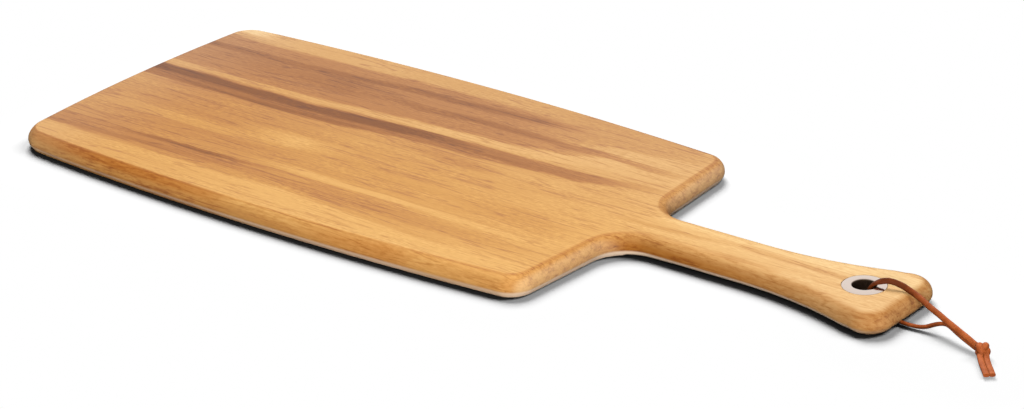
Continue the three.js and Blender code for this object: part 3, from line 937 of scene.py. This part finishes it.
def wood_colour(paint, along, across, depth, tone, end_grain):
    """The wood's colour: tone through the ramp, tints of sides and ends, painted shade, light and sheen."""
    tones = PALEST_TONE - DARKEST_TONE
    stops = [((place - DARKEST_TONE) / tones, colour(code)) for place, code in WOOD_COLOURS]
    tint = paint.node("ShaderNodeValToRGB", {"stops": stops}, {"Fac": (tone - DARKEST_TONE) / tones})
    # Painted sheen: the near side is tinted golden, the far side stays paler and bluer.
    golden = fade(across, *SHEEN_ACROSS) * fade(along, *SHEEN_ALONG)
    tint = blend_colours(paint, "MULTIPLY", golden, tint, NEAR_GOLD_AGAINST_SHEEN)
    # Oil tint, partly painted shade on the handle's roll and lower sides.
    oil = blend_colours(paint, "MIX", rise(along, *HANDLE_START), BODY_OIL_AND_SHADE, HANDLE_OIL_AND_SHADE)
    oiled = oil_and_painted_shade(along, depth) * (1 - end_grain * course(along, END_GRAIN_DRY))
    tint = blend_colours(paint, "MULTIPLY", oiled, tint, oil)
    tint = blend_colours(paint, "MIX", end_grain * course(along, END_GRAIN), tint, END_GRAIN_COLOUR)
    # Painted light: a pale band above the lower rim, bounced up from the white floor.
    tint = blend_colours(paint, "MIX", painted_floor_bounce(along, depth), tint, FLOOR_BOUNCE_COLOUR)
    # Painted sheen: the back end is greyed.
    return blend_colours(paint, "SATURATION", fade(along, *SHEEN_GREY_END) * SHEEN_GREY_SHARE, tint, WHITE)


print("wood colours", len(WOOD_COLOURS))

# %% Finish the board
END_FACING = (0.5, 0.85)
WOOD_ROUGHNESS = 0.6
WOOD_SHINE = 0.05
FIBRE_ROUGHNESS = 0.4
END_GRAIN_ROUGHNESS = 0.15
FIBRE_HEIGHT = 0.05 * MM


def board_wood():
    material, paint, shader = new_material("board_wood")
    x, y, z = parts_of(paint.node("ShaderNodeTexCoord", output="Object"))
    along = (x - board_low.x) / MM
    across = y / MM
    depth = (board_high.z - z) / MM
    facing = parts_of(paint.node("ShaderNodeTexCoord", output="Normal"))[0]
    end_grain = rise(facing.math("ABSOLUTE", facing), *END_FACING)
    tone, layer = wood_tone(along, across, depth)
    fibre = wood_fibre(along, layer, depth)
    tone = tone + fibre - edge_tone(along, across, layer, depth, end_grain)
    tint = wood_colour(paint, along, across, depth, tone, end_grain)
    roughness = WOOD_ROUGHNESS + fibre * FIBRE_ROUGHNESS + end_grain * END_GRAIN_ROUGHNESS
    sockets = {"Height": fibre, "Strength": 1.0, "Distance": FIBRE_HEIGHT}
    bump = paint.node("ShaderNodeBump", sockets=sockets)
    feed(shader, base_color=tint, roughness=roughness, specular_ior_level=WOOD_SHINE, normal=bump)
    return material


coat(board, board_wood())

# %% [markdown]
# ## The eyelet
# The eyelet is a pressed ring of pale satin metal. Its flange lies almost flush with the wood, so it
# mirrors the white room softly, while its bore is painted dark, as shade inside the hole. Two materials could
# be set on its faces, but the change from pale to dark is soft on the real ring. One metal is mixed by the
# distance from the ring's axis instead, and fine scuffs vary its roughness.

# %% Eyelet metal
EYELET_PALE = colour("dfcec2")
# Painted shade inside the eyelet's bore.
EYELET_BORE_SHADE = colour("5c4a3c")
BORE_EDGE = (6.05, 6.5)
SCUFF = Grain((1.2, 1.2, 1.2), 0.05)
EYELET_ROUGHNESS = 0.14
BORE_ROUGHNESS = 0.4


def eyelet_metal():
    material, paint, shader = new_material("eyelet_metal")
    x, y, z = parts_of(paint.node("ShaderNodeTexCoord", output="Object"))
    out_x = (x - (eyelet_low.x + eyelet_high.x) / 2) / MM
    out_y = y / MM
    radius = paint.math("SQRT", out_x * out_x + out_y * out_y)
    inside = 1 - rise(radius, *BORE_EDGE)
    scuff = noise(out_x, out_y, z / MM, SCUFF.size, detail=4.0) * SCUFF.strength
    # The bore is painted dark, as shade inside the hole.
    tint = blend_colours(paint, "MIX", inside, EYELET_PALE, EYELET_BORE_SHADE)
    feed(shader, base_color=tint, metallic=1.0, roughness=EYELET_ROUGHNESS + scuff + inside * BORE_ROUGHNESS)
    return material


coat(eyelet, eyelet_metal())

# %% [markdown]
# ## The leather
# The lace is tan leather with a fine grain. Where it bends over the handle it is darker, and towards the
# knot it is a clearer orange. One flat brown would look like plastic. A ramp of three tans is driven by the
# place along the lace, by patches a few millimetres wide and by the grain, and the same grain roughens and
# bumps the surface. Upper sides are painted paler, as painted light from above.

# %% Leather
LEATHER_COLOURS = [(0.0, "5a2504"), (0.5, "984a1f"), (1.0, "c46c3b")]
LEATHER_LEAST = 0.4
PAST_HANDLE, PAST_HANDLE_PALER = (240, 258), 0.5
LOOSE_END, LOOSE_END_PALER = (258, 290), 0.2
# Painted light from above: up-facing sides are paler.
TOP_LIGHT_SIDE, TOP_LIGHT_PALER = (-0.4, 0.9), 0.36
LEATHER_PATCH = Grain((5, 5, 5), 0.9)
LEATHER_GRAIN = Grain((0.5, 0.5, 0.5), 0.8)
LEATHER_ROUGHNESS = 0.62
GRAIN_ROUGHNESS = 0.2
LEATHER_SHINE = 0.14
GRAIN_BUMP = 0.35
GRAIN_HEIGHT = 0.15 * MM


def lace_leather():
    material, paint, shader = new_material("lace_leather")
    x, y, z = (part / MM for part in parts_of(paint.node("ShaderNodeTexCoord", output="Object")))
    patch = noise(x, y, z, LEATHER_PATCH.size, detail=3.0)
    grain = noise(x, y, z, LEATHER_GRAIN.size, detail=3.0, roughness=0.65)
    upward = parts_of(paint.node("ShaderNodeTexCoord", output="Normal"))[2]
    tone = rise(x, *PAST_HANDLE) * PAST_HANDLE_PALER - LEATHER_LEAST
    # Painted light from above makes up-facing sides paler.
    tone = tone + rise(x, *LOOSE_END) * LOOSE_END_PALER + rise(upward, *TOP_LIGHT_SIDE) * TOP_LIGHT_PALER
    tone = tone + patch * LEATHER_PATCH.strength + grain * LEATHER_GRAIN.strength
    stops = [(place, colour(code)) for place, code in LEATHER_COLOURS]
    tint = paint.node("ShaderNodeValToRGB", {"stops": stops}, {"Fac": tone})
    sockets = {"Height": grain, "Strength": GRAIN_BUMP, "Distance": GRAIN_HEIGHT}
    bump = paint.node("ShaderNodeBump", sockets=sockets)
    roughness = LEATHER_ROUGHNESS + grain * GRAIN_ROUGHNESS
    feed(shader, base_color=tint, roughness=roughness, specular_ior_level=LEATHER_SHINE, normal=bump)
    return material


leather = lace_leather()
for piece in (lace_upper, lace_lower, lace_knot):
    coat(piece, leather)

# %% [markdown]
# ## The floor
# The photograph has a white ground with a short, soft shadow. Lamps strong enough to turn the floor white
# would bleach the wood. The floor is a plain pale one instead. To the camera and to mirror rays it is
# brighter, and further out it is mixed with white, so that the ground ends nowhere and the shadow stays
# close to the board. Round the lace it is mixed with some white too, because the thin lace hardly shades
# the floor in the photograph.

# %% Finish of the floor
FLOOR_GREY = 0.8
FLOOR_SEEN = 1.3
FLOOR_ROUGHNESS = 0.9
SHOULDER_X = 87.0 * MM
HANDLE_HALF_WIDTH = 37.0 * MM
SHADOW_REACH = 7.0 * MM
WHITE_REACH = 35.0 * MM
LACE_SHADOW_LOSS = 0.4


def seen_directly(paint):
    """1 for rays from the camera, a mirror or glass, and 0 for light that falls on other surfaces."""
    camera_ray = paint.node("ShaderNodeLightPath", output="Is Camera Ray")
    mirror_ray = camera_ray.output("Is Glossy Ray")
    glass_ray = camera_ray.output("Is Transmission Ray")
    return paint.math("MAXIMUM", camera_ray, paint.math("MAXIMUM", mirror_ray, glass_ray))


def distance_to_oblong(x, y, low_x, high_x, half_width):
    """How far a place on the floor lies outside an oblong round the X axis."""
    from_middle = x - (low_x + high_x) / 2
    out_x = x.math("MAXIMUM", x.math("ABSOLUTE", from_middle) - (high_x - low_x) / 2, 0.0)
    out_y = x.math("MAXIMUM", x.math("ABSOLUTE", y) - half_width, 0.0)
    return x.math("SQRT", out_x * out_x + out_y * out_y)


def floor_white():
    material, paint, shader = new_material("studio_floor")
    x, y, _ = parts_of(paint.node("ShaderNodeTexCoord", output="Object"))
    body = distance_to_oblong(x, y, board_low.x, SHOULDER_X, board_high.y)
    handle = distance_to_oblong(x, y, SHOULDER_X, cad_box[1].x, HANDLE_HALF_WIDTH)
    reach = paint.math("MINIMUM", body, handle)
    lace_side = rise(x, board_high.x, board_high.x + WHITE_REACH) * LACE_SHADOW_LOSS
    seen = seen_directly(paint)
    shade = toward(FLOOR_GREY, FLOOR_SEEN, seen)
    feed(shader, base_color=shade, roughness=FLOOR_ROUGHNESS, specular_ior_level=0.0)
    white = paint.node("ShaderNodeEmission", sockets={"Color": WHITE, "Strength": 1.0})
    share = seen * toward(lace_side, 1.0, rise(reach, SHADOW_REACH, WHITE_REACH))
    plain = Flow(paint.tree, shader.outputs[0])
    mixed = paint.node("ShaderNodeMixShader", sockets={0: share, 1: plain, 2: white})
    paint.tree.links.new(mixed.socket, paint.tree.nodes["Material Output"].inputs["Surface"])
    return material


print("ground all white from", round(WHITE_REACH / MM), "mm off the board")

# %% Lay the floor
FLOOR_SIZE = 6.0
FLOOR_DROP = 0.1 * MM


def lay_floor():
    mesh = bmesh.new()
    half = FLOOR_SIZE / 2
    corners = [(-half, -half, 0), (half, -half, 0), (half, half, 0), (-half, half, 0)]
    mesh.faces.new([mesh.verts.new(corner) for corner in corners])
    ground = new_piece("studio_floor", mesh)
    ground.location.z = -FLOOR_DROP
    ground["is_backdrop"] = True
    return ground


ground = lay_floor()
coat(ground, floor_white())

# %% [markdown]
# ## The room
# A photographer hangs white paper all round, which metal then mirrors. A bright world would do that, but it
# would also light the object flatly and wash out its shadow. This world is white only to the camera and to
# mirror rays, and gives the object no more than a breath of light.

# %% White room
ROOM_LIGHT = 0.02


def white_room(strength):
    """A world that gives soft light from all round, and plain white to the camera and to mirror rays."""
    world = bpy.data.worlds.new("white_room")
    world.use_nodes = True
    tree = world.node_tree
    background = tree.nodes["Background"]
    background.inputs["Color"].default_value = WHITE
    seen = seen_directly(Flow(tree))
    tree.links.new(toward(strength, 1.0, seen).socket, background.inputs["Strength"])
    bpy.context.scene.world = world


white_room(ROOM_LIGHT)
print("room light", ROOM_LIGHT)

# %% [markdown]
# ## The lamps
# Broad light from behind throws the board's short shadow towards the viewer, and soft light from the front
# shows its near side. One large lamp overhead would be simpler, but it would leave the sides dark. Four
# soft boxes share the work: two behind the board, one behind the camera and a low one for the edges. The
# front ones are flagged off the floor, so that they don't thin the shadow, and all of them off the eyelet,
# whose crowned flange would mirror them as white spots. Light bounced from brown wood would tint the white
# ground, so diffuse bounces are off.

# %% Lamps
Lamp = namedtuple("Lamp", "place size power")
LAMPS = {
    "back_light": Lamp((-3.0, 3.1, 4.9), (3.3, 3.3), 348.0),
    "rim_light": Lamp((2.6, 3.1, 4.9), (2.0, 3.3), 110.0),
    "front_light": Lamp((1.9, -2.43, 1.44), (1.6, 1.6), 118.0),
    "low_light": Lamp((2.4, -2.1, 0.22), (2.0, 0.35), 29.0),
}
FLAGGED_OFF_FLOOR = ("front_light", "low_light")


def softbox(name, lamp):
    """A light box of a width and a height at a place, turned to the middle of the board."""
    light = bpy.data.lights.new(name, "AREA")
    light.shape = "RECTANGLE"
    light.size, light.size_y = lamp.size
    light.energy = lamp.power
    box = bpy.data.objects.new(name, light)
    box.location = lamp.place
    box.rotation_euler = (-Vector(lamp.place)).to_track_quat("-Z", "Y").to_euler()
    bpy.context.scene.collection.objects.link(box)
    return box


def keep_off(box, things):
    """Flags a lamp off some things, as a photographer does with a black card."""
    flagged = bpy.data.collections.new(box.name + "_flag")
    for thing in things:
        flagged.objects.link(thing)
    for linked in flagged.collection_objects:
        linked.light_linking.link_state = "EXCLUDE"
    box.light_linking.receiver_collection = flagged


for name, lamp in LAMPS.items():
    keep_off(softbox(name, lamp), [ground, eyelet] if name in FLAGGED_OFF_FLOOR else [eyelet])
    print(name, lamp.power, "W")
bpy.context.scene.cycles.diffuse_bounces = 0
bpy.context.scene.view_settings.view_transform = "Standard"

# %% [markdown]
# ## The size
# A picture can hide a piece that has grown, and the model has to keep its real size. Measuring each piece
# by eye would miss that. So the box of the solids and the box of the finished model are both measured, and
# how far the finished model reaches past the solids' far corner is printed.

# %% Measure the size
visual_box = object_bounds()
grown = [(seen - made) / MM for seen, made in zip(visual_box[1], cad_box[1])]
print("past the solids' far corner", [round(side, 2) for side in grown], "mm")
